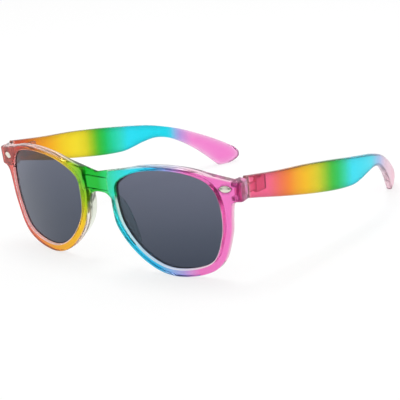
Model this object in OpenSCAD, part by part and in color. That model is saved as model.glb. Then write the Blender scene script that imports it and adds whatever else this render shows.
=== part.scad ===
// Moulded sunglasses with a wrapped front, two tinted lenses and folding temples.
// X runs across the face, Y runs back along the temples and Z is up.
// The open glasses stand on both rims and both temple tips, and the origin is
// the middle of that footprint.

/* [Lenses] */
// Width of one lens opening
lens_w = 51; // [46:0.5:56]
// Height of one lens opening
lens_h = 45.6; // [40:0.5:50]
// Thickness of a lens
lens_t = 1.8; // [1.4:0.1:2.0]
// How far a lens reaches into the groove of its rim
groove_depth = 0.8; // [0.5:0.1:1.0]

/* [Front] */
// Least distance between the two lens openings
bridge_gap = 19.2; // [16:0.2:24]
// Height of the bridge at its middle
bridge_h = 9.6; // [8:0.2:12]
// How far the bridge lies behind the faces of the rims
bridge_recess = 1.2; // [0.4:0.1:1.5]
// Thickness of the front
front_t = 3.8; // [3.6:0.1:4.4]
// Radius of the wrap, seen from above
wrap_r = 202; // [170:1:260]
// Lean of the front, with its top ahead of its bottom
front_tilt = 5.5; // [2:0.5:9]
// Width of the rim below the lens
rim_w = 2.7; // [2.2:0.1:3.6]
// Height of the end piece that carries the hinge
end_h = 9; // [8.6:0.1:11]
// How far the end piece stands out past the lens opening
end_reach = 9.5; // [8.5:0.1:12]

/* [Nose pads] */
// How far a nose pad reaches behind the rim
pad_reach = 5.2; // [3:0.1:7]
// Thickness of a nose pad at its middle
pad_t = 2.6; // [2:0.1:3.2]
// Angle at which the pads spread towards the back
pad_splay = 16; // [8:1:24]

/* [Temples] */
// Length of a temple from its butt joint to its tip
temple_len = 150; // [135:1:160]
// Thickness of a temple
temple_t = 3.2; // [2.8:0.1:3.4]
// Height of a temple at its butt joint
temple_root_h = 9.7; // [9:0.1:11]
// Outward bow of a temple
temple_bow = 6.6; // [3:0.2:9]
// Angle to which a temple bends inward behind the ear
temple_tip_in = 26.5; // [16:0.5:32]

/* [Hinges] */
// Outside diameter of the hinge barrels
barrel_d = 3.2; // [3:0.1:3.4]
// Height of the middle barrel, on the temple
knuckle_h = 3.7; // [3:0.1:4]
// Height of each outer barrel, on the front
lug_h = 2; // [1.6:0.1:2.2]
// Diameter of the hinge screw
screw_d = 1.4; // [1.2:0.1:1.6]
// Diameter of the screw's head
screw_head_d = 2.6; // [2.2:0.1:3]
// Radial play of the screw in the barrels
screw_play = 0.03; // [0.02:0.01:0.05]
// Gap between faces that move past each other
hinge_gap = 0.12; // [0.1:0.01:0.2]

/* [Studs] */
// Length of the pointed metal stud
stud_l = 5.6; // [4:0.1:6.2]
// Height of the stud
stud_h = 3; // [2:0.1:3.6]
// Thickness of the stud's plate
stud_t = 0.9; // [0.6:0.1:1.2]
// How far the stud stands proud of the front
stud_proud = 0.25; // [0.05:0.05:0.4]

/* [Hidden] */

// Clearances and small sizes
fit = 0.05;
lens_set = 1.1;
pocket_play = 0.1;
pin_d = 1;
pin_l = 1.5;
screw_head_t = 0.7;
slot_w = 0.4;
slot_depth = 0.35;
butt_reach = 0.7;
barrel_play = 0.25;
web_l = 5;
rib_set = 0.4;
rib_l = 7;
boss_t = 1.1;
boss_l = 6.5;
boss_h = 6;
corner_r = 0.9;
arch_h = 3.6;
bridge_flare = 12;
bridge_flare_h = 4.6;
bridge_root = 9;
bridge_foot = 2.5;
brow_l = 24;
brow_hump = 20;
brow_hump_h = 4.7;
brow_slope = 15.8;
pad_thin = 0.2;
pad_set = 0.3;
big = 400;
steps = 7;

// Shape of a lens opening: places about its middle, in halves of its size
LENS_SHAPE = [[-1, 0.50], [-0.91, 0.71], [-0.41, 0.95], [0.17, 1], [0.69, 0.88], [0.93, 0.62],
              [1, 0.21], [0.95, -0.30], [0.71, -0.83], [0.04, -1], [-0.50, -0.75], [-0.90, -0.18]];
// Width of the rim at those places, in shares of the width below the lens
RIM_SHAPE = [1.4, 1.5, 0.95, 0.85, 1.1, 1.5, 1.15, 1.02, 1.02, 1, 1.02, 1.24];
// Edges of a temple: share of its length, height over a line from butt to tip
TOP_SHAPE = [[0, 0], [0.06, 1.3], [0.154, 3.5], [0.287, 7.2], [0.421, 10.2], [0.52, 12.1],
             [0.6, 13.6], [0.677, 14.7], [0.778, 14.5], [0.874, 12.3], [0.935, 10.1], [0.98, 8]];
BOTTOM_SHAPE = [[0, 0], [0.06, 0.1], [0.154, 0.1], [0.287, 0.5], [0.421, 1.6], [0.52, 3.4],
                [0.574, 5.9], [0.62, 8.6], [0.677, 11.2], [0.73, 11.4], [0.778, 9.7],
                [0.83, 6.4], [0.874, 2.5], [0.925, -3]];
// Round end of a temple: share of its length, height over the table
TIP_SHAPE = [[0.998, 5.6], [0.998, 3.4], [0.982, 1.3], [0.958, 0]];
// Where a temple bends inward and over how long a stretch, in shares of its length
bend_at = 0.66;
bend_over = 0.16;

// Heights in the plane of the front count from the middle of the lens
half_w = lens_w/2;
half_h = lens_h/2;
half_gap = bridge_gap/2;
lens_x = half_gap + half_w;
bridge_top = 0.83*half_h;
bridge_low = bridge_top - bridge_h;
bridge_rise = 2;
recess_x = half_gap - 2.1;
end_x = half_gap + lens_w + end_reach;
end_mid = 0.645*half_h;
stud_x = end_x - 6.8;
stud_z = end_mid + 1.4;

function wrap_y(x, depth) = wrap_r - sqrt(pow(wrap_r - depth, 2) - x*x);
// Where a place of the front comes to stand: how far back and how high
function back_of(x, z, depth) = wrap_y(x, depth)*cos(front_tilt) - z*sin(front_tilt);
function height_of(x, z, depth) = wrap_y(x, depth)*sin(front_tilt) + z*cos(front_tilt) + front_z;
function turn(v) = [v[1], -v[0]]/norm(v);
// A smooth curve through four points in turn, at t from 0 to 1 between the middle two
function blend(a, b, c, d, t) =
    b + 0.5*t*(c - a + t*(2*a - 5*b + 4*c - d + t*(3*(b - c) + d - a)));
function item(list, i) = list[(i + len(list)) % len(list)];
function ring(list) =
    [for (i = [0 : len(list) - 1], j = [0 : steps - 1])
        blend(item(list, i - 1), item(list, i), item(list, i + 1), item(list, i + 2), j/steps)];
function strip(list) =
    let (n = len(list) - 1)
    concat([for (i = [0 : n - 1], j = [0 : steps - 1])
               blend(list[max(i - 1, 0)], list[i], list[i + 1], list[min(i + 2, n)], j/steps)],
           [list[n]]);

// Outline of a lens opening, and the same outline moved outward
lens_curve = ring([for (p = LENS_SHAPE) [lens_x + p[0]*half_w, p[1]*half_h]]);
rim_widths = ring([for (w = RIM_SHAPE) w*rim_w]);
function out_normal(i) = -turn(item(lens_curve, i + 1) - item(lens_curve, i - 1));
function grown(by) =
    [for (i = [0 : len(lens_curve) - 1])
        lens_curve[i] + out_normal(i)*(is_list(by) ? by[i] : by)];

// The rims stand on the table
front_z = -min([for (p = grown(rim_widths))
                   wrap_y(p[0], 0)*sin(front_tilt) + p[1]*cos(front_tilt)]);
end_z = height_of(end_x - 2, end_mid, front_t);
butt_y = back_of(end_x, end_mid, front_t) + butt_reach;
hinge_y = butt_y + 0.4;
hinge_z = end_z - 0.8;
hinge_half = knuckle_h/2 + hinge_gap + lug_h;
temple_x = end_x - temple_t/2 - barrel_play;
hinge_x = temple_x - temple_t/2 - barrel_play - barrel_d/2;
web_w = barrel_d - 0.6;
temple_z = end_z + 0.6;
blade_set = temple_x - hinge_x;
y_front = back_of(recess_x, brow(recess_x), 0);
y_back = butt_y + hinge_gap + temple_len*TIP_SHAPE[0][0];

module part_place() {
    translate([0, -(y_front + y_back)/2, 0]) children();
}

module front_place() {
    part_place() translate([0, 0, front_z]) rotate([front_tilt, 0, 0]) children();
}

module both_sides() {
    children();
    mirror([1, 0, 0]) children();
}

// The stretch of the wrap between two depths behind its front face
module wrap_shell(d0, d1) {
    translate([0, wrap_r, -big/2]) difference() {
        cylinder(r = wrap_r - d0, h = big, $fn = 720);
        translate([0, 0, -1]) cylinder(r = wrap_r - d1, h = big + 2, $fn = 720);
    }
}

// An outline in the plane of the front, carried back along Y
module carried(points) {
    translate([0, wrap_r/2, 0]) rotate([90, 0, 0]) linear_extrude(wrap_r) polygon(points);
}

module wrapped(points, d0, d1) {
    intersection() {
        carried(points);
        wrap_shell(d0, d1);
    }
}

// Turns a place in the middle of the wrap out to a distance x
module on_wrap(x, z) {
    translate([0, wrap_r, z]) rotate([0, 0, asin(x/wrap_r)]) translate([0, -wrap_r, 0]) children();
}

module lens_seat(play) {
    wrapped(grown(groove_depth + play), lens_set - play, lens_set + lens_t + play);
}

// Half of the bridge: its top dips at the middle and its foot is an arch
function brow(x) = bridge_top + bridge_rise*pow(x/half_gap, 1.6);
function bridge_outline() =
    let (x = half_gap, foot = x - arch_h, lap = 0.2)
    concat([for (i = [0 : 4]) [x*i/4, brow(x*i/4)]],
           [[x + bridge_flare, bridge_top + bridge_flare_h], [x + bridge_root, bridge_top - 0.5],
            [x - lap, bridge_low - bridge_foot], [foot, bridge_low - arch_h]],
           [for (a = [20 : 14 : 90])
               [foot*cos(a) - lap*sin(a), bridge_low - arch_h*(1 - sin(a))]]);

module bridge_cut() {
    low = bridge_low - 2*arch_h;
    intersection() {
        translate([-recess_x, -front_t, low])
            cube([2*recess_x, 4*front_t, bridge_h + 4*arch_h]);
        wrap_shell(-1, bridge_recess);
    }
}

function end_outline() =
    let (x = end_x, top = end_mid + end_h/2, low = end_mid - end_h/2, r = corner_r)
    concat([[x - brow_l, top - 1], [x - brow_hump, top + brow_hump_h], [x - brow_slope, top + 3.8],
            [x - 11, top + 2.3], [x - 7, top + 1], [x - 3.5, top + 0.2]],
           [for (a = [90 : -30 : 0]) [x - r + r*cos(a), top - r + r*sin(a)]],
           [for (a = [0 : -30 : -90]) [x - r + r*cos(a), low + r + r*sin(a)]],
           [[x - 3.4, low - 0.1], [x - 4.9, low - 0.8], [x - 5.7, low - 2.2],
            [x - 6, low - 5], [x - 10, low - 4]]);

// A nose pad follows the nasal edge of the rim and thins out at both ends
function pad_outline() =
    let (from = (len(LENS_SHAPE) - 2)*steps + 3, to = len(LENS_SHAPE)*steps - 2)
    concat([for (i = [from : to]) pad_point(i, 0)],
           [for (i = [to : -1 : from]) pad_point(i, pad_t*pad_share((i - from)/(to - from)))]);
function pad_share(run) = pad_thin + (1 - pad_thin)*sin(180*pow(run, 1.4));
function pad_point(i, inset) = lens_curve[i] + out_normal(i)*(rim_widths[i] - pad_set - inset);

module nose_pad() {
    intersection() {
        translate([half_gap, front_t, 0]) rotate([0, 0, -pad_splay])
            translate([-half_gap, -front_t, 0]) carried(pad_outline());
        wrap_shell(front_t - 0.3, front_t + pad_reach);
    }
}

// A pointed plate between two arcs, from the tangent plane back
module eye(l, h, t) {
    r = (l*l + h*h)/(4*h);
    rotate([90, 0, 0]) translate([0, 0, -t]) intersection() {
        translate([0, h/2 - r, 0]) cylinder(r = r, h = t, $fn = 96);
        translate([0, r - h/2, 0]) cylinder(r = r, h = t, $fn = 96);
    }
}

module stud_pins(d, l) {
    for (s = [-1, 1])
        translate([s*stud_l/6, 0, 0]) rotate([-90, 0, 0]) cylinder(d = d, h = l, $fn = 32);
}

module stud_pocket() {
    on_wrap(stud_x, stud_z) {
        eye(stud_l + 2*pocket_play, stud_h + 2*pocket_play, stud_t - stud_proud);
        stud_pins(pin_d + 2*fit, stud_t - stud_proud + pin_l);
    }
}

// The hinge's own frame: its middle, with Z along the screw
module hinge_place() {
    part_place() translate([hinge_x, hinge_y, hinge_z]) children();
}

module screw_bore() {
    translate([0, 0, -hinge_half - 1])
        cylinder(d = screw_d + 2*screw_play, h = 2*hinge_half + 2, $fn = 48);
}

module lug() {
    cylinder(d = barrel_d, h = lug_h, $fn = 48);
    translate([-web_w/2, -web_l, 0]) cube([web_w, web_l, lug_h]);
}

module end_block() {
    h = end_h - 2*corner_r;
    translate([temple_x - temple_t/2, butt_y - 3*butt_reach, end_z - h/2])
        cube([temple_t, 3*butt_reach, h]);
}

module front_half() {
    front_place() {
        difference() {
            union() {
                wrapped(grown(rim_widths), 0, front_t);
                wrapped(bridge_outline(), 0, front_t);
                wrapped(end_outline(), 0, front_t);
            }
            carried(lens_curve);
            lens_seat(fit);
            stud_pocket();
        }
        nose_pad();
    }
    part_place() end_block();
    hinge_place() for (z = [hinge_half - lug_h, -hinge_half]) translate([0, 0, z]) lug();
}

module front_frame() {
    color("hotpink") difference() {
        both_sides() front_half();
        front_place() bridge_cut();
        both_sides() hinge_place() screw_bore();
    }
}

module lens_one() {
    front_place() lens_seat(0);
}

module lens_left() {
    color("dimgray") lens_one();
}

module lens_right() {
    color("dimgray") mirror([1, 0, 0]) lens_one();
}

// Outline of a temple from the side
function edge(shape, root) = [for (p = strip(shape)) [p[0], max(0, root*(1 - p[0]) + p[1])]];
function temple_side() =
    let (low = edge(BOTTOM_SHAPE, temple_z - temple_root_h/2))
    concat(edge(TOP_SHAPE, temple_z + temple_root_h/2), TIP_SHAPE,
           [for (i = [len(low) - 1 : -1 : 0]) low[i]]);

// Middle line of a temple from above, its direction, and its outline
function bend_root(u) = sqrt(pow(u - bend_at, 2) + pow(bend_over, 2));
function bend_in(u) = temple_len*tan(temple_tip_in)/2*(u + bend_root(u));
function temple_line(u) =
    [temple_x + temple_bow*u - bend_in(u) + bend_in(0), temple_len*u];
function temple_way(u) =
    [temple_bow/temple_len - tan(temple_tip_in)/2*(1 + (u - bend_at)/bend_root(u)), 1];
function temple_plan() =
    let (n = 28)
    concat([for (i = [-1 : n]) temple_line(i/n) + turn(temple_way(i/n))*temple_t/2],
           [for (i = [n : -1 : -1]) temple_line(i/n) - turn(temple_way(i/n))*temple_t/2]);

module temple_blade() {
    part_place() translate([0, butt_y + hinge_gap, 0]) intersection() {
        rotate([90, 0, 90]) linear_extrude(big)
            polygon([for (p = temple_side()) [p[0]*temple_len, p[1]]]);
        translate([0, 0, -1]) linear_extrude(big) polygon(temple_plan());
    }
}

// The middle barrel, and the rib and boss that tie it to the blade
module temple_hinge() {
    hinge_place() {
        translate([0, 0, -knuckle_h/2]) cylinder(d = barrel_d, h = knuckle_h, $fn = 48);
        translate([rib_set, 0, -knuckle_h/2]) cube([blade_set - rib_set, rib_l, knuckle_h]);
        translate([blade_set - temple_t/2 - boss_t, rib_l, -boss_h/2])
            cube([temple_t/2 + boss_t, boss_l, boss_h]);
    }
}

module temple_one() {
    difference() {
        union() {
            temple_blade();
            temple_hinge();
        }
        hinge_place() screw_bore();
    }
}

module temple_left() {
    color("gold") temple_one();
}

module temple_right() {
    color("gold") mirror([1, 0, 0]) temple_one();
}

module hinge_screw() {
    hinge_place() difference() {
        union() {
            translate([0, 0, -hinge_half]) cylinder(d = screw_d, h = 2*hinge_half, $fn = 48);
            translate([0, 0, hinge_half]) cylinder(d = screw_head_d, h = screw_head_t, $fn = 48);
        }
        translate([-slot_w/2, -screw_head_d, hinge_half + screw_head_t - slot_depth])
            cube([slot_w, 2*screw_head_d, screw_head_t]);
    }
}

module hinge_screw_left() {
    color("silver") hinge_screw();
}

module hinge_screw_right() {
    color("silver") mirror([1, 0, 0]) hinge_screw();
}

module stud() {
    front_place() on_wrap(stud_x, stud_z) translate([0, -stud_proud, 0]) {
        eye(stud_l, stud_h, stud_t);
        stud_pins(pin_d, stud_t + pin_l - fit);
    }
}

module stud_left() {
    color("silver") stud();
}

module stud_right() {
    color("silver") mirror([1, 0, 0]) stud();
}

front_frame();
lens_left();
lens_right();
temple_left();
temple_right();
hinge_screw_left();
hinge_screw_right();
stud_left();
stud_right();
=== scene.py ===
"""Moulded sunglasses in clear plastic with a rainbow tint.

The front is drawn in its own plane: x across the face, z up from the middle of the lenses, and
depth behind its front face, which is wrapped round the head and leaned forward at the top. What
is there twice is drawn on the wearer's left, where x is above 0, and mirrored for the right.
Sizes are in millimetres until a point is placed.
"""
from math import cos, pi, radians, sin, sqrt, tan

import bpy
import numpy as np
from mathutils import Matrix, Vector
from mathutils.geometry import delaunay_2d_cdt


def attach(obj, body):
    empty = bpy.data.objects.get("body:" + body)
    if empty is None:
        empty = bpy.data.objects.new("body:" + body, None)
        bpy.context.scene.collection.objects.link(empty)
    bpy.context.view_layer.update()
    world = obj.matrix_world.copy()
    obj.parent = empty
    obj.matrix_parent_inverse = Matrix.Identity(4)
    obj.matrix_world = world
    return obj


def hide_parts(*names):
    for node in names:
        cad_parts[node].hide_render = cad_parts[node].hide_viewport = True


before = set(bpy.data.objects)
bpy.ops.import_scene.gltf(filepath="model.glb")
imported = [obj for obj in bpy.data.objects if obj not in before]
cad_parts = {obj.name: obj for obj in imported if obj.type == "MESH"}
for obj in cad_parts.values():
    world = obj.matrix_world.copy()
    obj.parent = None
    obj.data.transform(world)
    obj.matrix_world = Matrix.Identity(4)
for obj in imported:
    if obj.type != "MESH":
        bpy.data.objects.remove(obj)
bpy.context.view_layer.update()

MM = 0.001
SIDES = (("left", False), ("right", True))

# Sizes that the visual model shares with the solids
LENS_W, LENS_H, LENS_T = 51.0, 45.6, 1.8
LENS_SET = 1.1
BRIDGE_GAP = 19.2
FRONT_T = 3.8
WRAP_R = 202.0
TILT = radians(5.5)
RIM_W = 2.7
END_REACH = 9.5
BRIDGE_RECESS, BRIDGE_RISE = 1.2, 2
TEMPLE_LEN = 150.0
TEMPLE_T = 3.2
TEMPLE_ROOT_H = 9.7
TEMPLE_BOW = 6.6
TEMPLE_TIP_IN = radians(26.5)
BEND_AT, BEND_OVER = 0.66, 0.16
PAD_REACH, PAD_T, PAD_THIN, PAD_SET = 5.2, 2.6, 0.2, 0.3
PAD_SPLAY = radians(16)
PAD_FROM, PAD_OVER = 10.43, 1.3
STUD_L, STUD_H, STUD_T = 5.6, 3.0, 0.9
PIN_R, PIN_L = 0.5, 1.5
BARREL_R, BARREL_PLAY = 1.6, 0.25
LUG_H, KNUCKLE_H, HINGE_GAP = 2.0, 3.7, 0.12
SCREW_R, SCREW_PLAY = 0.7, 0.03
HEAD_R, HEAD_T = 1.3, 0.7
SLOT_DEPTH = 0.35
BUTT_REACH = 0.7

# Sizes of the dressing
FRONT_EDGE_R, OPENING_EDGE_R, TEMPLE_EDGE_R = 0.9, 0.5, 1.2
LENS_EDGE_R, BARREL_EDGE_R, METAL_EDGE_R = 0.15, 0.25, 0.12
LENS_PLAY, LENS_DOME = 0.02, 0.5
GROOVE_TOP, GROOVE_LOW = 17.0, 11.0
GROOVE_DEPTH, GROOVE_HALF = 0.6, 0.4
SLOPE_TOP, SLOPE_LOW = 1.9, 1.8
GROOVE_ENDS, SLOPE_ENDS = (5.4, 6.2), (6.6, 8.8)
RECESS_RAMP = 1.9
POCKET_PLAY, POCKET_DEPTH = 0.1, 0.66
END_LOW, END_TOP, CORNER_R = 10.2, 19.1, 0.25
BUTT_X = 66.3
TINT_HALF = 72

HALF_W, HALF_H = LENS_W / 2, LENS_H / 2
LENS_X = BRIDGE_GAP / 2 + HALF_W
RECESS_X = BRIDGE_GAP / 2 - 2.1
BRIDGE_TOP = 0.83 * HALF_H
END_X = BRIDGE_GAP / 2 + LENS_W + END_REACH
END_MID = 0.645 * HALF_H
STUD_X, STUD_Z = END_X - 6.8, END_MID + 1.4
TEMPLE_X = END_X - TEMPLE_T / 2 - BARREL_PLAY

# Outlines, as in the solids: places about the middle of a lens in halves of its size, the width
# of the rim there in shares of the width below the lens, and the edges of a temple as a share of
# its length and a height over a line from butt to tip. The opening that is seen is a little less
# than the lens.
LENS_SHAPE = [(-1, 0.50), (-0.91, 0.71), (-0.41, 0.95), (0.17, 1), (0.69, 0.88), (0.93, 0.62),
              (1, 0.21), (0.95, -0.30), (0.71, -0.83), (0.04, -1), (-0.50, -0.75), (-0.90, -0.18)]
OPENING_SHAPE = [(-0.965, 0.44), (-0.87, 0.735), (-0.42, 0.965), (0.17, 1.015), (0.68, 0.895),
                 (0.915, 0.64), (0.985, 0.23), (0.94, -0.27), (0.70, -0.79), (0.04, -0.955),
                 (-0.49, -0.715), (-0.88, -0.16)]
RIM_SHAPE = [1.4, 1.5, 0.95, 0.85, 1.1, 1.5, 1.15, 1.02, 1.02, 1, 1.02, 1.24]
TOP_SHAPE = [(0, 0), (0.06, 1.3), (0.154, 3.5), (0.287, 7.2), (0.421, 10.2), (0.52, 12.1),
             (0.6, 13.6), (0.677, 14.7), (0.778, 14.5), (0.874, 12.3), (0.935, 10.1), (0.98, 8)]
BOTTOM_SHAPE = [(0, 0), (0.06, 0.1), (0.154, 0.1), (0.287, 0.5), (0.421, 1.6), (0.52, 3.4),
                (0.574, 5.9), (0.62, 8.6), (0.677, 11.2), (0.73, 11.4), (0.778, 9.7),
                (0.83, 6.4), (0.874, 2.5), (0.925, -3)]
TIP_SHAPE = [(0.998, 5.6), (0.998, 3.4), (0.982, 1.3), (0.958, 0)]

# How finely curves are drawn, how far apart the points of each outline lie, the shares of a
# rounded edge that have a row of points, the turn at which an edge between faces is sharp and
# the turn at which a face no longer takes the true normals of its points
RING_STEPS = 14
FRONT_STEP, LENS_STEP, TEMPLE_STEP, HINGE_STEP, STUD_STEP = 0.7, 1.0, 0.6, 0.25, 0.12
EDGE_ROWS = [1 - cos(radians(turn)) for turn in (15, 28, 41, 54, 68, 90)]
SHARP_TURN, BEND_TURN = radians(35), radians(20)


# Curves

def between(a, b, c, d, t):
    """A smooth curve through four points in turn, at t from 0 to 1 between the middle two."""
    return b + 0.5 * t * (c - a + t * (2 * a - 5 * b + 4 * c - d + t * (3 * (b - c) + d - a)))


def ring(points):
    """A smooth closed curve through the points."""
    p = np.asarray(points, float)
    n = len(p)
    return np.array([between(p[i - 1], p[i], p[(i + 1) % n], p[(i + 2) % n], j / RING_STEPS)
                     for i in range(n) for j in range(RING_STEPS)])


def strip(points, steps):
    """A smooth open curve through the points."""
    p = np.asarray(points, float)
    n = len(p) - 1
    curve = [between(p[max(i - 1, 0)], p[i], p[i + 1], p[min(i + 2, n)], j / steps)
             for i in range(n) for j in range(steps)]
    return np.array(curve + [p[n]])


def arc(r, low, high, n):
    """Points of a circle about the origin between two angles in degrees."""
    a = np.radians(np.linspace(low, high, n))
    return np.stack([r * np.cos(a), r * np.sin(a)], axis=1)


def eye_radius(length, height):
    """Radius of the two arcs that bound a pointed plate."""
    return (length ** 2 + height ** 2) / (4 * height)


def eye_shape(length, height, n):
    """Outline of a pointed plate, anticlockwise about its middle."""
    r = eye_radius(length, height)
    a = np.linspace(-1, 1, n) * np.arcsin(length / 2 / r)
    low = np.stack([r * np.sin(a), r - height / 2 - r * np.cos(a)], axis=1)
    return np.vstack([low[:-1], -low[:-1]])


def eye_gap(x, z, length, height):
    """How far places lie inside the outline of a pointed plate, negative outside."""
    r = eye_radius(length, height)
    return r - np.hypot(x, np.abs(z) + r - height / 2)


def spaced(curve, gap):
    """The same closed curve with its points evenly spaced."""
    c = np.vstack([curve, curve[:1]])
    run = np.concatenate([[0], np.cumsum(np.linalg.norm(np.diff(c, axis=0), axis=1))])
    at = np.linspace(0, run[-1], int(round(run[-1] / gap)) + 1)[:-1]
    return np.stack([np.interp(at, run, c[:, k]) for k in range(2)], axis=1)


def eased(curve, times):
    """The same closed curve with its small kinks smoothed."""
    for _ in range(times):
        curve = (np.roll(curve, 1, axis=0) + 2 * curve + np.roll(curve, -1, axis=0)) / 4
    return curve


def normals_of(curve):
    """Unit vectors that point to the right of a closed curve."""
    way = np.roll(curve, -1, axis=0) - np.roll(curve, 1, axis=0)
    way = way / np.linalg.norm(way, axis=1, keepdims=True)
    return np.stack([way[:, 1], -way[:, 0]], axis=1)


def inside(points, outline):
    """Whether each point lies inside a closed outline."""
    x, z = points[:, 0][:, None], points[:, 1][:, None]
    x0, z0 = outline[:, 0], outline[:, 1]
    x1, z1 = np.roll(x0, -1), np.roll(z0, -1)
    rise = np.where(z1 == z0, 1, z1 - z0)
    crosses = ((z0 > z) != (z1 > z)) & (x < x0 + (z - z0) * (x1 - x0) / rise)
    return crosses.sum(axis=1) % 2 == 1


def in_plate(points, outlines):
    """Whether each point lies inside the first outline and outside the others."""
    fits = inside(points, outlines[0])
    for hole in outlines[1:]:
        fits &= ~inside(points, hole)
    return fits


def nearest_on(points, line):
    """For each point the nearest side of a closed outline, how far along it and how far off."""
    ab = np.roll(line, -1, axis=0) - line
    sides, shares, gaps = [], [], []
    for start in range(0, len(points), 1000):
        p = points[start:start + 1000, None]
        t = np.clip(((p - line) * ab).sum(-1) / (ab * ab).sum(-1), 0, 1)
        gap = np.linalg.norm(p - line - t[..., None] * ab, axis=-1)
        side, row = gap.argmin(axis=1), np.arange(len(gap))
        sides.append(side)
        shares.append(t[row, side])
        gaps.append(gap[row, side])
    return np.concatenate(sides), np.concatenate(shares), np.concatenate(gaps)


def gap_to(points, outlines):
    """How far each point lies from the nearest of some closed outlines."""
    return np.min([nearest_on(points, line)[2] for line in outlines], axis=0)


def edge_normals(points, line):
    """The unit normal of a closed outline, to its right, at the place nearest each point."""
    side, share, _ = nearest_on(points, line)
    here, share = normals_of(line), share[:, None]
    return (1 - share) * here[side] + share * np.roll(here, -1, axis=0)[side]


def slope_of(surface, x, z):
    """How fast a depth, or a place, changes across and up."""
    step = 0.01
    return ((surface(x + step, z) - surface(x - step, z)) / (2 * step),
            (surface(x, z + step) - surface(x, z - step)) / (2 * step))


def ramp(low, high, x):
    """A smooth step from 0 to 1."""
    t = np.clip((x - low) / (high - low), 0, 1)
    return t * t * (3 - 2 * t)


def level(depth):
    """A face at one depth, or a tint of one place."""
    return lambda x, z: depth + 0 * x


# Meshes

def bend_normals(mesh, normals):
    """Gives each corner of a mesh the true normal of its point, unless its face turns away from
    it by BEND_TURN or more, or the normal is all zeros."""
    count = len(mesh.loops)
    vertex = np.empty(count, np.int32)
    mesh.loops.foreach_get("vertex_index", vertex)
    corner = np.empty(3 * count, np.float32)
    mesh.corner_normals.foreach_get("vector", corner)
    corner = corner.reshape(-1, 3)
    flat = np.empty(3 * len(mesh.polygons), np.float32)
    mesh.polygon_normals.foreach_get("vector", flat)
    flat = np.repeat(flat.reshape(-1, 3), [len(f.vertices) for f in mesh.polygons], axis=0)
    fits = (normals[vertex] * flat).sum(axis=1) > cos(BEND_TURN)
    corner[fits] = normals[vertex][fits]
    mesh.normals_split_custom_set(corner.tolist())


def make_object(name, points, faces, mirrored=False, normals=None, **attributes):
    """A mesh object from points in metres, with a value for each point under each name."""
    points = np.array(points, float)
    if mirrored:
        points[:, 0] *= -1
        faces = [f[::-1] for f in faces]
    mesh = bpy.data.meshes.new(name)
    mesh.from_pydata(points.tolist(), [], faces)
    mesh.validate()
    mesh.shade_smooth()
    mesh.set_sharp_from_angle(angle=SHARP_TURN)
    if normals is not None:
        bend_normals(mesh, normals * (-1 if mirrored else 1, 1, 1))
    for key, values in attributes.items():
        layer = mesh.attributes.new(key, "FLOAT", "POINT")
        layer.data.foreach_set("value", np.asarray(values, np.float32))
    obj = bpy.data.objects.new(name, mesh)
    bpy.context.scene.collection.objects.link(obj)
    return obj


def flat_mesh(outlines, radii, grid, creases):
    """A flat mesh inside the first outline and outside the others.

    It gives the points, the triangles and, for each outline, the numbers of its points. Rows
    of points follow the outlines where their edges are rounded, and creases are kept as edges.
    """
    starts = np.cumsum([0] + [len(line) for line in outlines])
    flat, edges = [p for line in outlines for p in line], []
    for first, line in zip(starts, outlines):
        edges += [(first + i, first + (i + 1) % len(line)) for i in range(len(line))]
    for k, (line, r) in enumerate(zip(outlines, radii)):
        for share in EDGE_ROWS:
            row = share * r
            moved = line + normals_of(line) * (row if k else -row)
            flat += list(moved[gap_to(moved, outlines) > 0.94 * row])
    for crease in creases:
        fits = in_plate(crease, outlines) & (gap_to(crease, outlines) > 0.25)
        first = len(flat)
        flat += list(crease)
        edges += [(first + i, first + i + 1) for i in range(len(crease) - 1)
                  if fits[i] and fits[i + 1]]
    low, high = outlines[0].min(axis=0), outlines[0].max(axis=0)
    cells = np.array([(x + (j % 2) * grid / 2, z)
                      for j, z in enumerate(np.arange(low[1], high[1], grid * 0.866))
                      for x in np.arange(low[0], high[0], grid)])
    clear = np.ones(len(cells), bool)
    for line, r in zip(outlines, radii):
        clear &= gap_to(cells, [line]) > r + 0.4 * grid
    flat += list(cells[clear])
    cut = delaunay_2d_cdt([Vector(p) for p in flat], edges, [], 0, 1e-4)
    flat = np.array([tuple(v) for v in cut[0]])
    where = {old: new for new, olds in enumerate(cut[3]) for old in olds}
    tris = np.array(cut[2])
    a, b, c = (flat[tris[:, k]] for k in range(3))
    area = np.cross(b - a, c - a)
    tris[area < 0] = tris[area < 0][:, ::-1]
    tris = tris[in_plate((a + b + c) / 3, outlines) & (np.abs(area) > 1e-6)]
    loops = [[where[first + i] for i in range(len(line))] for first, line in zip(starts, outlines)]
    return flat, tris, loops


def plate_normals(flat, outlines, radii, surfaces, place):
    """The true normals of a plate's front and back, with their rounded edges, at flat points."""
    x, z = flat.T
    rim, lean = np.zeros((len(flat), 2)), np.zeros(len(flat))
    for k, (line, r) in enumerate(zip(outlines, radii)):
        close = np.clip((r - gap_to(flat, [line])) / r, 0, 1)
        near = close > lean
        if near.any():
            rim[near] = edge_normals(flat[near], line) * (-1 if k else 1)
            lean[near] = close[near]
    upright = np.sqrt(1 - lean * lean)
    normals = []
    for side, surface in zip((-1, 1), surfaces):
        depth = surface(x, z)
        dx, dz = slope_of(surface, x, z)
        nx, nz = (lean * rim[:, k] - side * upright * d for k, d in ((0, dx), (1, dz)))
        px, pz = slope_of(lambda a, b: place(a, b, depth), x, z)
        pd = (place(x, z, depth + 0.01) - place(x, z, depth - 0.01)) / 0.02
        way = nx[:, None] * np.cross(pz, pd) + nz[:, None] * np.cross(pd, px) \
            + (side * upright)[:, None] * np.cross(px, pz)
        way *= np.sign((np.cross(px, pz) * pd).sum(axis=1))[:, None]
        normals.append(way / np.linalg.norm(way, axis=1, keepdims=True))
    return normals


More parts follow.
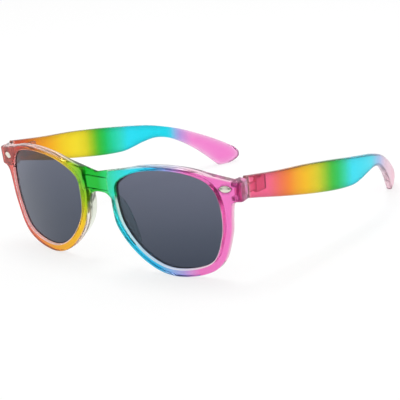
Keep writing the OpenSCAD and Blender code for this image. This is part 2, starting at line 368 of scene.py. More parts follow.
def slab(name, outer, holes, front, back, place, edge_r, grid, hue=level(0), tint_and_shade_of=None,
         mirrored=False, hole_r=0.0, creases=(), wall_depths=()):
    """A plate between two curved faces, with its edges rounded by edge_r, or hole_r in its holes.

    The outlines run anticlockwise. front and back give the depths of the faces at points, and
    place carries x, z and depth to metres. hue gives the place of a point in the tint, and the
    argument after it the strength of the tint, past full a painted shade, from x, z, the face
    (0 front, 1 back, 2 wall of a hole) and how far the point is from the outer outline and from
    the holes. Each hole's wall has rings of points at the wall depths.
    """
    outlines = [outer] + holes
    radii = [edge_r] + [hole_r or edge_r] * len(holes)
    tint_and_shade_of = tint_and_shade_of or (lambda x, z, face, from_outer, from_holes: 0 * x)
    flat, tris, loops = flat_mesh(outlines, radii, grid, creases)
    from_outer = gap_to(flat, [outer])
    from_holes = gap_to(flat, holes) if holes else from_outer + 99
    fall = 0
    for gap, r in ((from_outer, radii[0]), (from_holes, radii[-1])):
        fall = np.maximum(fall, r - np.sqrt(r * r - np.clip(r - gap, 0, r) ** 2))
    n = len(flat)
    x, z = flat.T
    points = [place(x, z, front(x, z) + fall), place(x, z, back(x, z) - fall)]
    normals = plate_normals(flat, outlines, radii, (front, back), place)
    skin = [tint_and_shade_of(x, z, face, from_outer, from_holes) for face in (0, 1)]
    runs = [hue(x, z)] * 2
    faces = [tuple(t) for t in tris.tolist()]
    faces += [(t[2] + n, t[1] + n, t[0] + n) for t in faces]
    for k, (line, loop) in enumerate(zip(outlines, loops)):
        m, rings = len(line), [loop]
        for depth in (wall_depths if k else ()):
            first = sum(map(len, points))
            rings.append(list(range(first, first + m)))
            points.append(place(line[:, 0], line[:, 1], np.full(m, depth)))
            normals.append(np.zeros((m, 3)))
            skin.append(tint_and_shade_of(line[:, 0], line[:, 1], 2, np.full(m, 99.0), np.zeros(m)))
            runs.append(hue(line[:, 0], line[:, 1]))
        rings.append([i + n for i in loop])
        for near, far in zip(rings, rings[1:]):
            for i in range(m):
                j = (i + 1) % m
                quad = (near[i], far[i], far[j], near[j])
                faces.append(quad[::-1] if k else quad)
    used = np.unique(np.concatenate([np.array(f) for f in faces]))
    new = np.full(sum(map(len, points)), -1)
    new[used] = np.arange(len(used))
    faces = [tuple(int(new[i]) for i in f) for f in faces]
    return make_object(name, np.vstack(points)[used], faces, mirrored,
                       normals=np.vstack(normals)[used],
                       skin=np.concatenate(skin)[used], run=np.concatenate(runs)[used])


def lathe(name, profile, place, n, mirrored):
    """A turned piece from (radius, height) points; the first and last lie on the axis."""
    profile = np.array(profile, float)
    a = np.linspace(0, 2 * pi, n, endpoint=False)
    r, h = profile[1:-1, 0][:, None], profile[1:-1, 1][:, None]
    x, y = (r * np.cos(a)).ravel(), (r * np.sin(a)).ravel()
    points = place(np.append(x, [0, 0]), np.append(y, [0, 0]),
                   np.append((h + 0 * a).ravel(), [profile[0, 1], profile[-1, 1]]))
    rows = len(profile) - 2
    faces = []
    for i in range(n):
        j = (i + 1) % n
        faces.append((i, rows * n, j))
        faces.append(((rows - 1) * n + i, (rows - 1) * n + j, rows * n + 1))
        for k in range(rows - 1):
            faces.append((k * n + i, k * n + j, (k + 1) * n + j, (k + 1) * n + i))
    return make_object(name, points, faces, mirrored)


def loft(name, loops, mirrored, run, skin):
    """A skin over closed loops of points in turn, capped at both ends."""
    loops = np.array(loops)
    count, n = loops.shape[:2]
    faces = [(k * n + i, k * n + (i + 1) % n, (k + 1) * n + (i + 1) % n, (k + 1) * n + i)
             for k in range(count - 1) for i in range(n)]
    faces += [tuple(range(n))[::-1], tuple(range((count - 1) * n, count * n))]
    points = loops.reshape(-1, 3)
    return make_object(name, points, faces, mirrored, run=np.full(len(points), run),
                       skin=np.full(len(points), skin))


# Materials

def colour(code):
    """A hex colour as linear red, green and blue."""
    v = np.array([int(code[i:i + 2], 16) for i in (1, 3, 5)]) / 255
    return np.where(v < 0.04045, v / 12.92, ((v + 0.055) / 1.055) ** 2.4)


class Paint:
    """A material with its nodes, built a node at a time."""

    def __init__(self, name):
        self.material = bpy.data.materials.new(name)
        self.material.use_nodes = True
        self.tree = self.material.node_tree
        self.shader = self.tree.nodes["Principled BSDF"]

    def node(self, kind, **values):
        node = self.tree.nodes.new("ShaderNode" + kind)
        for key, value in values.items():
            if key in node.inputs:
                node.inputs[key].default_value = value
            else:
                setattr(node, key, value)
        return node

    def link(self, a, out, b, into):
        self.tree.links.new(a.outputs[out], b.inputs[into])

    def set(self, **values):
        for key, value in values.items():
            self.shader.inputs[key.replace("_", " ")].default_value = value

    def attribute(self, name):
        return self.node("Attribute", attribute_name=name)

    def stops(self, source, stops, power=1.0):
        """A colour ramp through (place, hex) stops."""
        node = self.node("ValToRGB")
        elements = node.color_ramp.elements
        while len(elements) > 1:
            elements.remove(elements[0])
        for k, (at, code) in enumerate(stops):
            element = elements[0] if k == 0 else elements.new(at)
            element.position = at
            element.color = (*(colour(code) ** power), 1)
        self.link(source, "Fac", node, "Fac")
        return node

    def blend(self, source, bare, full):
        """From one plain colour to the colour of a node, as the source goes from 0 to 1."""
        node = self.node("Mix", data_type="RGBA", blend_type="MIX")
        self.link(source, "Fac", node, "Factor")
        node.inputs[6].default_value = (*bare, 1)
        self.tree.links.new(full.outputs["Color"], node.inputs[7])
        return node.outputs[2]

    def noise(self, scale, detail, stretch=(1, 1, 1)):
        where = self.node("TexCoord")
        turn = self.node("Mapping", Scale=stretch)
        node = self.node("TexNoise", Scale=scale, Detail=detail)
        self.link(where, "Object", turn, "Vector")
        self.link(turn, "Vector", node, "Vector")
        return node

    def roughness(self, source, low, high):
        node = self.node("MapRange")
        node.inputs["To Min"].default_value = low
        node.inputs["To Max"].default_value = high
        self.link(source, "Fac", node, "Value")
        self.link(node, "Result", self.shader, "Roughness")

    def bump(self, source, strength, distance):
        node = self.node("Bump", Strength=strength, Distance=distance)
        self.link(source, "Fac", node, "Height")
        self.link(node, "Normal", self.shader, "Normal")

    def on(self, *objects):
        for obj in objects:
            obj.data.materials.clear()
            obj.data.materials.append(self.material)


def tinted_plastic(name, stops, low, high, power, clear):
    """Clear plastic, tinted on its faces by stops between two places along the piece.

    Light takes the square root of the colour at each face that it passes, so power deepens the
    tint. The tint attribute is the strength of the tint: 0 is bare, 1 full, and from 1 to 2 it
    darkens to near black as painted shade.
    """
    m = Paint(name)
    tint = m.stops(m.attribute("run"), [((at - low) / (high - low), code) for at, code in stops],
                   power)
    skin = m.attribute("skin")
    # Painted shade: values past 1 darken the colour towards black.
    dark = m.node("MapRange")
    for key, value in (("From Min", 1), ("From Max", 2), ("To Min", 1), ("To Max", 0.05)):
        dark.inputs[key].default_value = value
    m.link(skin, "Fac", dark, "Value")
    shade = m.node("VectorMath", operation="SCALE")
    m.tree.links.new(m.blend(skin, (0.95, 0.95, 0.95), tint), shade.inputs[0])
    m.link(dark, "Result", shade, "Scale")
    m.link(shade, "Vector", m.shader, "Base Color")
    flow = m.noise(scale=90, detail=3, stretch=(1, 1, 0.5))
    m.roughness(flow, 0.02, 0.05)
    m.bump(flow, strength=0.05, distance=0.0002)
    m.set(IOR=1.4, Transmission_Weight=clear, Specular_Tint=(0.1, 0.1, 0.1, 1))
    return m


def hinge_plastic(name, code):
    """The plastic of a hinge, in slightly uneven streaks of one tint."""
    m = Paint(name)
    streak = m.noise(scale=160, detail=3, stretch=(1, 1, 0.4))
    deep = m.stops(streak, [(0.3, code), (0.7, code)])
    deep.color_ramp.elements[0].color = (*(colour(code) * 0.8), 1)
    m.link(deep, "Color", m.shader, "Base Color")
    m.roughness(streak, 0.02, 0.06)
    m.set(IOR=1.4, Transmission_Weight=0.9, Specular_Tint=(1, 1, 1, 1))
    return m


def lens_smoke_shade_and_reflection():
    """Smoke glass, graded by the run attribute, which also paints a reflection on the far lens,
    and painted black along its edge as shade of the groove, where the tint attribute is 0.
    """
    m = Paint("lens_smoke_shade_and_reflection")
    smoke_grade_and_reflection = m.stops(m.attribute("run"), [(0.0, "#3c4352"), (0.2, "#4a5160"), (0.6, "#686c7d"),
                                         (1.0, "#b0a8b0")])
    # Painted shade: the edge of the lens goes black.
    m.tree.links.new(m.blend(m.attribute("skin"), (0.004, 0.004, 0.006), smoke_grade_and_reflection),
                     m.shader.inputs["Base Color"])
    m.roughness(m.noise(scale=25, detail=3), 0.0, 0.03)
    m.set(IOR=1.5, Transmission_Weight=1.0, Specular_Tint=(0.3, 0.3, 0.3, 1))
    return m


def metal(name, base, scale, stretch, rough, relief):
    """Metal with a fine grain in its roughness, between two values, and in its surface."""
    m = Paint(name)
    grain = m.noise(scale, 2, stretch)
    m.roughness(grain, *rough)
    m.bump(grain, relief, 0.00003)
    m.set(Base_Color=(*base, 1), Metallic=1.0)
    return m


CORAL, ORANGE, AMBER, YELLOW = "#ee6558", "#fb9240", "#fdb32c", "#ffd21c"
LEMON, LIME, LEAF, GREEN = "#ecdc28", "#b4d828", "#58d040", "#28cc40"
EMERALD, JADE, SEA, TURQUOISE = "#24d468", "#40e486", "#28e0b0", "#40e8d4"
CYAN, SKY, LILAC, PINK, ROSE = "#38ecfc", "#34c8f4", "#c4b0ee", "#fc88d2", "#fc7ca4"

# The tints: across the front from its middle, and along each temple from its hinge
FRONT_TINT = [(-56, CORAL), (-46, ORANGE), (-36, AMBER), (-22, YELLOW), (-13, LIME), (-7, GREEN),
              (1, GREEN), (6, JADE), (12.5, TURQUOISE), (21, CYAN), (33, SKY), (40.5, LILAC),
              (48, PINK), (TINT_HALF, PINK)]
TEMPLE_TINTS = {
    "left": [(0, ROSE), (14, ROSE), (22, "#fb896f"), (28, "#fe9c44"), (34, "#ffbc30"),
             (41, YELLOW), (49, LEMON), (55, LIME), (60.5, LEAF), (65, EMERALD), (71, SEA),
             (78, CYAN), (98, CYAN), (110, "#a8c8f8"), (122, "#e4bbd9"), (133, "#f5c3dc"),
             (142, "#f4a4c6"), (TEMPLE_LEN, "#e8789f")],
    "right": [(0, "#ea6858"), (9, "#ee7a44"), (16, "#f8a636"), (25, "#ffc230"), (34, "#ffde30"),
              (44, "#ffec3c"), (51, "#f0e434"), (56, LIME), (60.5, LEAF), (65, EMERALD),
              (71, SEA), (77, TURQUOISE), (83, CYAN), (110, CYAN), (116, LILAC),
              (123, "#fca0e0"), (TEMPLE_LEN, "#fc9cde")],
}
LUG_TINTS = {"left": "#fdeef6", "right": "#fce8e0"}
KNUCKLE_TINTS = {"left": "#fbc4d6", "right": "#fbe0d0"}

front_plastic = tinted_plastic("front_plastic", FRONT_TINT, -TINT_HALF, TINT_HALF, power=2.0,
                               clear=0.88)
lens_material = lens_smoke_shade_and_reflection()
steel = metal("screw_steel", (0.56, 0.55, 0.54), scale=900, stretch=(1, 1, 1),
              rough=(0.22, 0.38), relief=0.2)
silver = metal("stud_metal", (0.80, 0.77, 0.68), scale=700, stretch=(0.2, 1, 1),
               rough=(0.18, 0.32), relief=0.15)


# Where the places of the front come to stand

def wrap_y(x, depth):
    """How far back the wrap takes a place of the front."""
    return WRAP_R - np.sqrt((WRAP_R - depth) ** 2 - x * x)


def back_of(x, z, depth):
    """The same with the lean of the front."""
    return wrap_y(x, depth) * cos(TILT) - z * sin(TILT)


lens_curve = ring([(LENS_X + a * HALF_W, b * HALF_H) for a, b in LENS_SHAPE])
rim_width = ring([(w * RIM_W, 0) for w in RIM_SHAPE])[:, 0]
out_of_lens = -normals_of(lens_curve)
rim_curve = lens_curve + out_of_lens * rim_width[:, None]

# The rims stand on the floor, and the whole is centred from its brow to the temple tips
FRONT_Z = -min(wrap_y(rim_curve[:, 0], 0) * sin(TILT) + rim_curve[:, 1] * cos(TILT))
BUTT = back_of(END_X, END_MID, FRONT_T) + BUTT_REACH
BROW_Z = BRIDGE_TOP + BRIDGE_RISE * (RECESS_X / (BRIDGE_GAP / 2)) ** 1.6
Y_MID = (back_of(RECESS_X, BROW_Z, 0) + BUTT + HINGE_GAP + TIP_SHAPE[0][0] * TEMPLE_LEN) / 2
BUTT_Y = BUTT - Y_MID
END_Z = wrap_y(END_X - 2, FRONT_T) * sin(TILT) + END_MID * cos(TILT) + FRONT_Z
TEMPLE_Z = END_Z + 0.6
HINGE_X = TEMPLE_X - TEMPLE_T / 2 - BARREL_PLAY - BARREL_R
HINGE_Y = BUTT_Y + 0.4
HINGE_Z = END_Z - 0.8


def leaned(x, y, z):
    """A wrapped place of the front, leaned and lifted to where it stands, in metres."""
    return np.stack([x, y * cos(TILT) - z * sin(TILT) - Y_MID,
                     y * sin(TILT) + z * cos(TILT) + FRONT_Z], axis=-1) * MM


def on_front(x, z, depth):
    """A place of the front, in metres."""
    return leaned(x, wrap_y(x, depth), z)


def butt_depth(x, z):
    """Depth at which a place of the front meets the upright plane of the butt joints."""
    along = (BUTT + z * sin(TILT)) / cos(TILT)
    return WRAP_R - np.sqrt((WRAP_R - along) ** 2 + x * x)


# The front

def rim_part(start, count):
    """Points of the rim's outline from beside a place of the lens shape, against its order."""
    places = [start - 0.25 * i for i in range(count)]
    return [rim_curve[int(round(place * RING_STEPS)) % len(rim_curve)] for place in places]


def front_line():
    """The front's outline: the bridge's foot, the rim, the end piece and the brow, mirrored."""
    low = strip([(0, 9.25), (3, 8.95), (5.1, 7.35), (6.1, 4.6)] + rim_part(11.5, 22)
                + [(64.2, 6.5), (64.9, 8.9), (66.6, 10.1), (69.6, END_LOW)], 8)
    high = strip([(69.6, END_TOP), (66, 19.6), (62.2, 20.6)] + rim_part(4.1, 11)
                 + [(9.3, 20.95), (0, BRIDGE_TOP + 0.02)], 8)
    low_corner = arc(CORNER_R, -80, -10, 3) + (END_X - CORNER_R, END_LOW + CORNER_R)
    high_corner = arc(CORNER_R, 10, 80, 3) + (END_X - CORNER_R, END_TOP - CORNER_R)
    half = np.vstack([low, low_corner, high_corner, high])
    return eased(spaced(np.vstack([half, half[-2:0:-1] * (-1, 1)]), FRONT_STEP), 2)


opening_curve = ring([(LENS_X + a * HALF_W, b * HALF_H) for a, b in OPENING_SHAPE])
opening = spaced(opening_curve[::-1], FRONT_STEP)


def groove(z):
    """1 at the bottom of the bridge's two V grooves, falling to 0 at their edges."""
    gap = np.minimum(np.abs(z - GROOVE_TOP), np.abs(z - GROOVE_LOW))
    return np.clip(1 - gap / GROOVE_HALF, 0, 1)


def pocket_gap(x, z):
    """How far places lie inside the outline of the stud's pocket, negative outside."""
    return eye_gap(np.abs(x) - STUD_X, z - STUD_Z, STUD_L + 2 * POCKET_PLAY,
                   STUD_H + 2 * POCKET_PLAY)


def front_face(x, z):
    """Depth of the front's outer face: the bridge is recessed between two bevels, slopes away at
    the top and the foot and has two grooves, and each end piece has a pocket for its stud."""
    w = np.abs(x)
    recess = BRIDGE_RECESS * (1 - ramp(RECESS_X - RECESS_RAMP, RECESS_X, w))
    high = np.clip((z - GROOVE_TOP) / SLOPE_TOP, 0, 1)
    low = np.clip((GROOVE_LOW - z) / SLOPE_LOW, 0, 1)
    slopes = (1 - ramp(*SLOPE_ENDS, w)) * (high + low)
    grooves = GROOVE_DEPTH * groove(z) * (1 - ramp(*GROOVE_ENDS, w))
    pockets = POCKET_DEPTH * ramp(-0.08, 0.04, pocket_gap(x, z))
    return recess + slopes + pockets + grooves


def front_back(x, z):
    """Depth of the front's back, which runs on to the butt joint at each end."""
    return FRONT_T + (butt_depth(x, z) - FRONT_T) * (np.abs(x) > BUTT_X)


def creases_of_front():
    """Lines that the mesh of the front follows: bevels, butts, pockets, grooves and slopes."""
    lines = []
    for s in (-1, 1):
        for x in (RECESS_X - RECESS_RAMP, RECESS_X - 1.3, RECESS_X - 0.65, RECESS_X,
                  BUTT_X - 0.02, BUTT_X + 0.02):
            z = np.arange(-2, 24, 0.5)
            lines.append(np.stack([np.full(len(z), s * x), z], axis=1))
        for shift in (-0.09, 0, 0.09):
            eye = eye_shape(STUD_L + 2 * (POCKET_PLAY + shift),
                            STUD_H + 2 * (POCKET_PLAY + 0.6 * shift), 22)
            lines.append(np.vstack([eye, eye[:1]]) * (s, 1) + (s * STUD_X, STUD_Z))
    x = np.arange(-8.8, 8.81, 0.4)
    for middle, on_slope in ((GROOVE_TOP, 18.1), (GROOVE_LOW, 10.0)):
        lines += [np.stack([x, np.full(len(x), z)], axis=1)
                  for z in (middle - GROOVE_HALF, middle, middle + GROOVE_HALF, on_slope)]
    return lines


def front_hue(x, z):
    """Where a place lies in the tint: across the front, and further out below the bridge."""
    w = np.abs(x)
    out = 0.5 * np.clip(14 - z, 0, 20) * ramp(1, 8, w) * (1 - ramp(14, 40, w))
    return (x + np.sign(x) * out + TINT_HALF) / (2 * TINT_HALF)


def front_tint_and_shade(x, z, face, from_outer, from_holes):
    """Strength of the front's tint: full on the outer face, and past full, which darkens it as
    painted shade, in the grooves and round each stud's pocket. Along the outer edge it is thinner
    on the brow, on the end pieces and on the nasal side of the far rim, and along the openings it
    is thin below, as a painted highlight, and strong above, as painted shade, past full on the
    near rim. The walls of the openings have a little, and the back has some along its outer edge."""
    if face == 2:
        return 0.35 + 0 * x
    w, far = np.abs(x), x < 0
    skin = 1 - 0.5 * ramp(12, 18, z) * ramp(16, 28, w)
    nasal = 0.85 * far * ramp(-20, -14, z) * (1 - ramp(7, 10, z)) * (1 - ramp(18, 24, w))
    skin = skin * (1 - nasal)
    end = ramp(64, 67, w)
    if face == 1:
        return 0.5 * skin * (1 - ramp(0.3, 0.6, from_outer)) * (1 - 0.3 * end) * (1 - nasal)
    skin = skin + (0.8 - skin) * end
    skin = skin + (1 - skin) * ramp(0.1, 0.6, from_outer)
    high = ramp(4, 14, z)
    # The lip of each opening: bare below as a painted highlight, and tinted strongly above as
    # painted shade.
    lip_highlight_and_shade = 0.2 + (1.15 - 0.4 * far) * high + 0.35 * far * (1 - ramp(24, 42, w)) * (1 - high)
    # Painted shade in the bridge's grooves.
    grooves = 0.9 * groove(z) * ramp(-7.8, -7, x) * (1 - ramp(4.6, 6, x))
    # Painted shade in the gap round each stud.
    stud_gap_shade = 0.9 * np.clip(1 - np.abs(pocket_gap(x, z)) / 0.16, 0, 1)
    return skin * (lip_highlight_and_shade + (1 - lip_highlight_and_shade) * ramp(0.2, 0.5, from_holes)) + (grooves + stud_gap_shade)


def make_front():
    shell = slab("front_shell", front_line(), [opening, (opening * (-1, 1))[::-1]], front_face,
                 front_back, on_front, FRONT_EDGE_R, grid=1.5, hue=front_hue, tint_and_shade_of=front_tint_and_shade,
                 hole_r=OPENING_EDGE_R, creases=creases_of_front(), wall_depths=(1.9, 2.9))
    front_plastic.on(shell)
    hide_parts("front_frame")
    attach(shell, "front")


# Lenses: a little domed, and set into the openings of the rims

def dome(x, z):
    share = np.clip(((x - LENS_X) / HALF_W) ** 2 + (z / HALF_H) ** 2, 0, 1)
    return LENS_DOME * (1 - share) ** 2


def lens_edge_shade(mirrored):
    """The lens is painted black along its edge as the shade of the groove, more so beside the nose
    and below, and on the far lens at its outer corner too."""
    def tint_and_shade_of(x, z, face, from_outer, from_holes):
        wide = 0.1 + 0.75 * (1 - ramp(LENS_X - 24, LENS_X - 8, x)) \
            + 0.3 * (1 - ramp(-20, -6, z)) * (1 - ramp(LENS_X, LENS_X + 14, x))
        if mirrored:
            wide = wide + 1.1 * ramp(LENS_X + 12, LENS_X + 22, x) * ramp(-16, 4, z)
        # Where this falls to 0 the lens is painted black as shade.
        return ramp(-0.15 - LENS_PLAY, 0.05 - LENS_PLAY, from_outer - 0.75 * wide)
    return tint_and_shade_of


def lens_grade_and_reflection(mirrored):
    """How light the lens is: darker below, and lighter at the outer edge of the far one, which is
    a painted reflection.
    """
    def shade(x, z):
        a, c = (x - LENS_X) / HALF_W, z / HALF_H
        if not mirrored:
            return 0.3 + 0.3 * c
        # The far lens is lighter at its outer edge: a painted reflection.
        return 0.24 + 0.18 * c + 0.2 * ramp(0.55, 1.1, np.hypot(a, c)) * ramp(-0.3, 0.5, a)
    return shade


def make_lens(side, mirrored):
    inward = normals_of(opening_curve)
    line = spaced((opening_curve + inward * LENS_PLAY)[::-1], LENS_STEP)
    lens = slab("lens_" + side + "_glass", line, [], lambda x, z: LENS_SET - dome(x, z),
                lambda x, z: LENS_SET + LENS_T - dome(x, z), on_front, LENS_EDGE_R, grid=2.0,
                hue=lens_grade_and_reflection(mirrored), tint_and_shade_of=lens_edge_shade(mirrored), mirrored=mirrored,
                creases=[eased(opening_curve + inward * row, 1)[::-1] for row in (0.45, 0.9)])
    lens_material.on(lens)
    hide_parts("lens_" + side)
    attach(lens, "front")


# Nose pads: clear fins behind the nasal rims

def pad_loops():
    """Cross sections of a pad along the rim, between two places of the lens shape."""
    loops = []
    for share in np.linspace(0, 1, 28):
        at = (PAD_FROM + share * PAD_OVER) * RING_STEPS
        i, part, n = int(at), at - int(at), len(lens_curve)
        base, out, width = ((1 - part) * v[i % n] + part * v[(i + 1) % n]
                            for v in (lens_curve, out_of_lens, rim_width))
        thick = PAD_T * (PAD_THIN + (1 - PAD_THIN) * sin(pi * share ** 1.4))
        reach = PAD_REACH * sin(pi * min(1, share * 0.94 + 0.03)) ** 0.3
        tip = min(0.45 * thick, reach)
        turn = np.radians(np.linspace(0, 180, 11))
        across = np.concatenate([[0], thick / 2 - thick / 2 * np.cos(turn), [thick]])
        depth = np.concatenate([[-0.1], reach - tip + tip * np.sin(turn), [-0.1]])
        splay = np.maximum(depth, 0) * tan(PAD_SPLAY)
        p = base + out * (width - PAD_SET - across)[:, None]
        loops.append(on_front(p[:, 0] + splay, p[:, 1], FRONT_T + depth)[::-1])
    return loops


def make_pad(side, mirrored):
    hue = float(front_hue(-10.0 if mirrored else 10.0, 6.0))
    pad = loft("nose_pad_" + side, pad_loops(), mirrored, hue, 0.25)
    front_plastic.on(pad)
    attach(pad, "front")


# Temples

def temple_edge(shape, root):
    """Share of the length and height of an edge that starts at the height of the root."""
    p = strip(shape, 14)
    return np.stack([p[:, 0], np.maximum(0, root * (1 - p[:, 0]) + p[:, 1])], axis=1)


def temple_line():
    """Side outline of a temple, as the distance from its butt and the height."""
    high = temple_edge(TOP_SHAPE, TEMPLE_Z + TEMPLE_ROOT_H / 2)
    low = temple_edge(BOTTOM_SHAPE, TEMPLE_Z - TEMPLE_ROOT_H / 2)
    tip = strip([high[-1]] + TIP_SHAPE, 8)[1:]
    line = np.vstack([low, tip[::-1], high[::-1]])
    line[:, 0] = np.clip(line[:, 0], 0, TIP_SHAPE[0][0] - 0.0001)
    return spaced(line * (TEMPLE_LEN, 1), TEMPLE_STEP)


def on_temple(s, z, depth):
    """A place of the left temple: along it, up, and below its outer face, in metres."""
    u = s / TEMPLE_LEN
    root = np.sqrt((u - BEND_AT) ** 2 + BEND_OVER ** 2)
    lean = TEMPLE_LEN * tan(TEMPLE_TIP_IN) / 2
    first = sqrt(BEND_AT ** 2 + BEND_OVER ** 2)
    middle = TEMPLE_X + TEMPLE_BOW * u - lean * (u + root - first)
    slope = TEMPLE_BOW / TEMPLE_LEN - tan(TEMPLE_TIP_IN) / 2 * (1 + (u - BEND_AT) / root)
    x = middle + (TEMPLE_T / 2 - depth) * np.sqrt(1 + slope ** 2)
    return np.stack([x, BUTT_Y + HINGE_GAP + s, z], axis=-1) * MM


def temple_tint_and_edge_shade(x, z, face, from_outer, from_holes):
    """Strength of the temple's tint: full on both faces, darker along the edges as painted shade,
    thinner there towards the tip, and bare at the butt."""
    # Past full, along the edges, the tint darkens as painted shade.
    edge = 1.4 - 0.9 * ramp(100, 125, x)
    return (edge + (1 - edge) * ramp(0.1, 1.8, from_outer)) * ramp(0.5, 1.5, x)


def make_temple(side, mirrored):
    blade = slab("temple_" + side + "_blade", temple_line(), [], level(0), level(TEMPLE_T),
                 on_temple, TEMPLE_EDGE_R, grid=2.5, hue=lambda x, z: x / TEMPLE_LEN,
                 tint_and_shade_of=temple_tint_and_edge_shade, mirrored=mirrored)
    tinted_plastic("temple_plastic_" + side, TEMPLE_TINTS[side], 0, TEMPLE_LEN, power=1.2,
                   clear=0.82).on(blade)
    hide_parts("temple_" + side)
    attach(blade, "temple_" + side)


# Hinges: two lugs on the front, a knuckle with its boss on the temple, and a screw

LUG_LOW = KNUCKLE_H / 2 + HINGE_GAP
LUG_TOP = LUG_LOW + LUG_H
BORE = arc(SCREW_R + SCREW_PLAY, 0, 345, 24)
LUG_LINE = np.vstack([arc(BARREL_R, -35.6, 215.6, 40), [(-1.3, -3.2), (1.3, -3.2)]])
KNUCKLE_LINE = np.vstack([arc(BARREL_R, 75.5, 360, 44), [(2.2, 0), (2.2, 7.2), (0.4, 7.2)]])
BOSS_LINE = np.array([(0.75, 7.0), (2.5, 7.0), (2.7, 13.5), (0.9, 13.5)])
BOSS_HALF = 3.0


def in_hinge(x, y, h):
    """A place about the middle of the left hinge, in metres."""
    return np.stack([HINGE_X + x, HINGE_Y + y, HINGE_Z + h], axis=-1) * MM


def tier(name, outline, holes, low, high, edge_r, mirrored):
    """A flat piece of the hinge between two heights."""
    return slab(name, spaced(outline, HINGE_STEP), holes, level(0), level(high - low),
                lambda x, z, depth: in_hinge(x, z, high - depth), edge_r, grid=0.8,
                mirrored=mirrored)


def make_lugs(side, mirrored):
    lugs = [tier(f"hinge_lug_{place}_{side}", LUG_LINE, [BORE], low, low + LUG_H, BARREL_EDGE_R,
                 mirrored) for place, low in (("top", LUG_LOW), ("bottom", -LUG_TOP))]
    hinge_plastic("hinge_lugs_" + side, LUG_TINTS[side]).on(*lugs)
    for lug in lugs:
        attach(lug, "front")


def make_knuckle(side, mirrored):
    half = KNUCKLE_H / 2
    pieces = [tier("hinge_knuckle_" + side, KNUCKLE_LINE, [BORE], -half, half, BARREL_EDGE_R,
                   mirrored),
              tier("hinge_boss_" + side, BOSS_LINE, [], -BOSS_HALF, BOSS_HALF, 0.3, mirrored)]
    hinge_plastic("hinge_knuckle_" + side, KNUCKLE_TINTS[side]).on(*pieces)
    for piece in pieces:
        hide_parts("temple_" + side)
        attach(piece, "temple_" + side)


def head_face(x, z):
    """Depth of a screw's head below its middle: a low pan with a slot across it."""
    pan = 0.3 * ((x * x + z * z) / HEAD_R ** 2) ** 1.5
    return pan + SLOT_DEPTH * (1 - ramp(0.17, 0.24, np.abs(x)))


def make_screw(side, mirrored):
    profile = [(0, -LUG_TOP), (SCREW_R - 0.15, -LUG_TOP), (SCREW_R, 0.07 - LUG_TOP),
               (SCREW_R, LUG_TOP - 0.07), (0, LUG_TOP - 0.07)]
    shank = lathe("screw_shank_" + side, profile, in_hinge, 32, mirrored)
    head = slab("screw_head_" + side, arc(HEAD_R, 0, 352, 46), [], head_face,
                level(HEAD_T - 0.01), lambda x, z, depth: in_hinge(x, z, LUG_TOP + HEAD_T - depth),
                METAL_EDGE_R, grid=0.12, mirrored=mirrored)
    for piece in (shank, head):
        steel.on(piece)
        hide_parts("hinge_screw_" + side)
        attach(piece, "front")


# Studs: a pointed plate with a ridge, on two pins

def stud_face(x, z):
    """Depth of a stud's face: proud along its middle, falling away to both arcs."""
    half_height = np.maximum(eye_gap(x, 0 * z, STUD_L, STUD_H), 0.05)
    share = np.clip(np.abs(z) / half_height, 0, 1)
    return -0.24 + 0.3 * share + 0.1 * (x / STUD_L * 2) ** 2


def on_stud(x, z, depth):
    """A place of the left stud, on the plane that touches the wrap at its middle, in metres."""
    turn = np.arcsin(STUD_X / WRAP_R)
    along = depth - WRAP_R
    return leaned(x * cos(turn) - along * sin(turn),
                  WRAP_R + x * sin(turn) + along * cos(turn), z + STUD_Z)


def make_stud(side, mirrored):
    plate = slab("stud_" + side + "_plate", spaced(eye_shape(STUD_L, STUD_H, 30), STUD_STEP), [],
                 stud_face, level(STUD_T), on_stud, METAL_EDGE_R, grid=0.22,
                 mirrored=mirrored)
    root = STUD_T - 0.1
    profile = [(0, root + PIN_L), (PIN_R, root + PIN_L), (PIN_R, root), (0, root)]
    pins = [lathe(f"stud_{side}_pin_{k}", profile,
                  lambda x, y, h, k=k: on_stud(x + k * STUD_L / 6, y, h), 20, mirrored)
            for k in (-1, 1)]
    for piece in [plate] + pins:
        silver.on(piece)
        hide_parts("stud_" + side)
        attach(piece, "front")


make_front()
for side, mirrored in SIDES:
    make_lens(side, mirrored)
for side, mirrored in SIDES:
    for make in (make_pad, make_lugs, make_temple, make_knuckle, make_screw, make_stud):
        make(side, mirrored)


# Floor, backdrop, light and camera, in metres

FLOOR_HALF = 6
FLOOR_GLOW = 0.75
CARD_LOW, CARD_TOP = 0.02, 1.3
LAMP_PLACE, LAMP_SIZE, LAMP_POWER = (-0.1, 0.0, 0.8), (0.4, 0.3), 2.6
CAMERA_PLACE = (0.3952, -0.4981, 0.2055)
AZIMUTH, ELEVATION, ROLL = radians(39.0), radians(17.2), radians(-4.0)


def seen_directly(tree):
    """1 for camera rays and for rays seen in metal and through glass."""
    path = tree.nodes.new("ShaderNodeLightPath")
    out = path.outputs["Is Camera Ray"]
    for name in ("Is Glossy Ray", "Is Transmission Ray"):
        node = tree.nodes.new("ShaderNodeMath")
        node.operation = "MAXIMUM"
        tree.links.new(out, node.inputs[0])
        tree.links.new(path.outputs[name], node.inputs[1])
        out = node.outputs[0]
    return out


def sheet(name, points, paint):
    """A flat backdrop with one corner at each point."""
    mesh = bpy.data.meshes.new(name)
    mesh.from_pydata(points, [], [tuple(range(len(points)))])
    obj = bpy.data.objects.new(name, mesh)
    bpy.context.scene.collection.objects.link(obj)
    paint.on(obj)
    return obj


def matt(name, grey):
    m = Paint(name)
    m.set(Base_Color=(grey, grey, grey, 1), Roughness=1.0, Specular_IOR_Level=0.0)
    return m


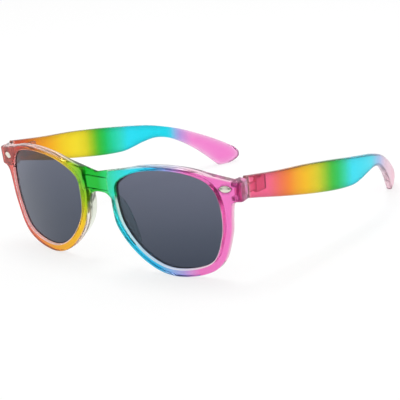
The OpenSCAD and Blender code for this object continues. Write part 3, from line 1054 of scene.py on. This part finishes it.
def floor_white():
    """A white floor that mostly glows where it is seen, so that its shadows stay faint."""
    m = matt("floor_white", 0.92)
    share = m.node("Math", operation="MULTIPLY")
    share.inputs[1].default_value = FLOOR_GLOW
    m.tree.links.new(seen_directly(m.tree), share.inputs[0])
    both = m.node("MixShader")
    m.tree.links.new(share.outputs[0], both.inputs[0])
    m.tree.links.new(m.shader.outputs[0], both.inputs[1])
    m.tree.links.new(m.node("Emission").outputs[0], both.inputs[2])
    m.tree.links.new(both.outputs[0], m.tree.nodes["Material Output"].inputs["Surface"])
    return m


sheet("floor", [(-FLOOR_HALF, -FLOOR_HALF, 0), (FLOOR_HALF, -FLOOR_HALF, 0),
                (FLOOR_HALF, FLOOR_HALF, 0), (-FLOOR_HALF, FLOOR_HALF, 0)], floor_white())

# A dark card behind the camera, for the surfaces to mirror
card = sheet("card", [(-1.4, -1.6, CARD_LOW), (2.2, -0.6, CARD_LOW), (2.2, -0.6, CARD_TOP),
                      (-1.4, -1.6, CARD_TOP)], matt("card_dark", 0.3))
card.visible_camera = False

world = bpy.data.worlds.new("soft_white")
bpy.context.scene.world = world
world.use_nodes = True
world_tree = world.node_tree
background = world_tree.nodes["Background"]
strength = world_tree.nodes.new("ShaderNodeMapRange")
strength.inputs["To Min"].default_value = 0.95
world_tree.links.new(seen_directly(world_tree), strength.inputs["Value"])
background.inputs["Color"].default_value = (1, 1, 1, 1)
world_tree.links.new(strength.outputs["Result"], background.inputs["Strength"])

softbox = bpy.data.lights.new("softbox", "AREA")
softbox.shape = "RECTANGLE"
softbox.size, softbox.size_y = LAMP_SIZE
softbox.energy = LAMP_POWER
lamp = bpy.data.objects.new("softbox", softbox)
bpy.context.scene.collection.objects.link(lamp)
lamp.location = LAMP_PLACE
lamp.rotation_euler = (-lamp.location).to_track_quat("-Z", "Y").to_euler()

ahead = Vector((-sin(AZIMUTH) * cos(ELEVATION), cos(AZIMUTH) * cos(ELEVATION), -sin(ELEVATION)))
across = Vector((cos(AZIMUTH), sin(AZIMUTH), 0))
upward = across.cross(ahead)
right = across * cos(ROLL) + upward * sin(ROLL)
above = -across * sin(ROLL) + upward * cos(ROLL)
camera_data = bpy.data.cameras.new("camera")
camera_data.lens = 123.67
camera_data.sensor_width = 36
camera_data.shift_x, camera_data.shift_y = -0.0065, -0.002
camera = bpy.data.objects.new("camera", camera_data)
bpy.context.scene.collection.objects.link(camera)
camera.matrix_world = Matrix.Translation(CAMERA_PLACE) \
    @ Matrix((right, above, -ahead)).transposed().to_4x4()
bpy.context.scene.camera = camera
bpy.context.scene.view_settings.view_transform = "Standard"
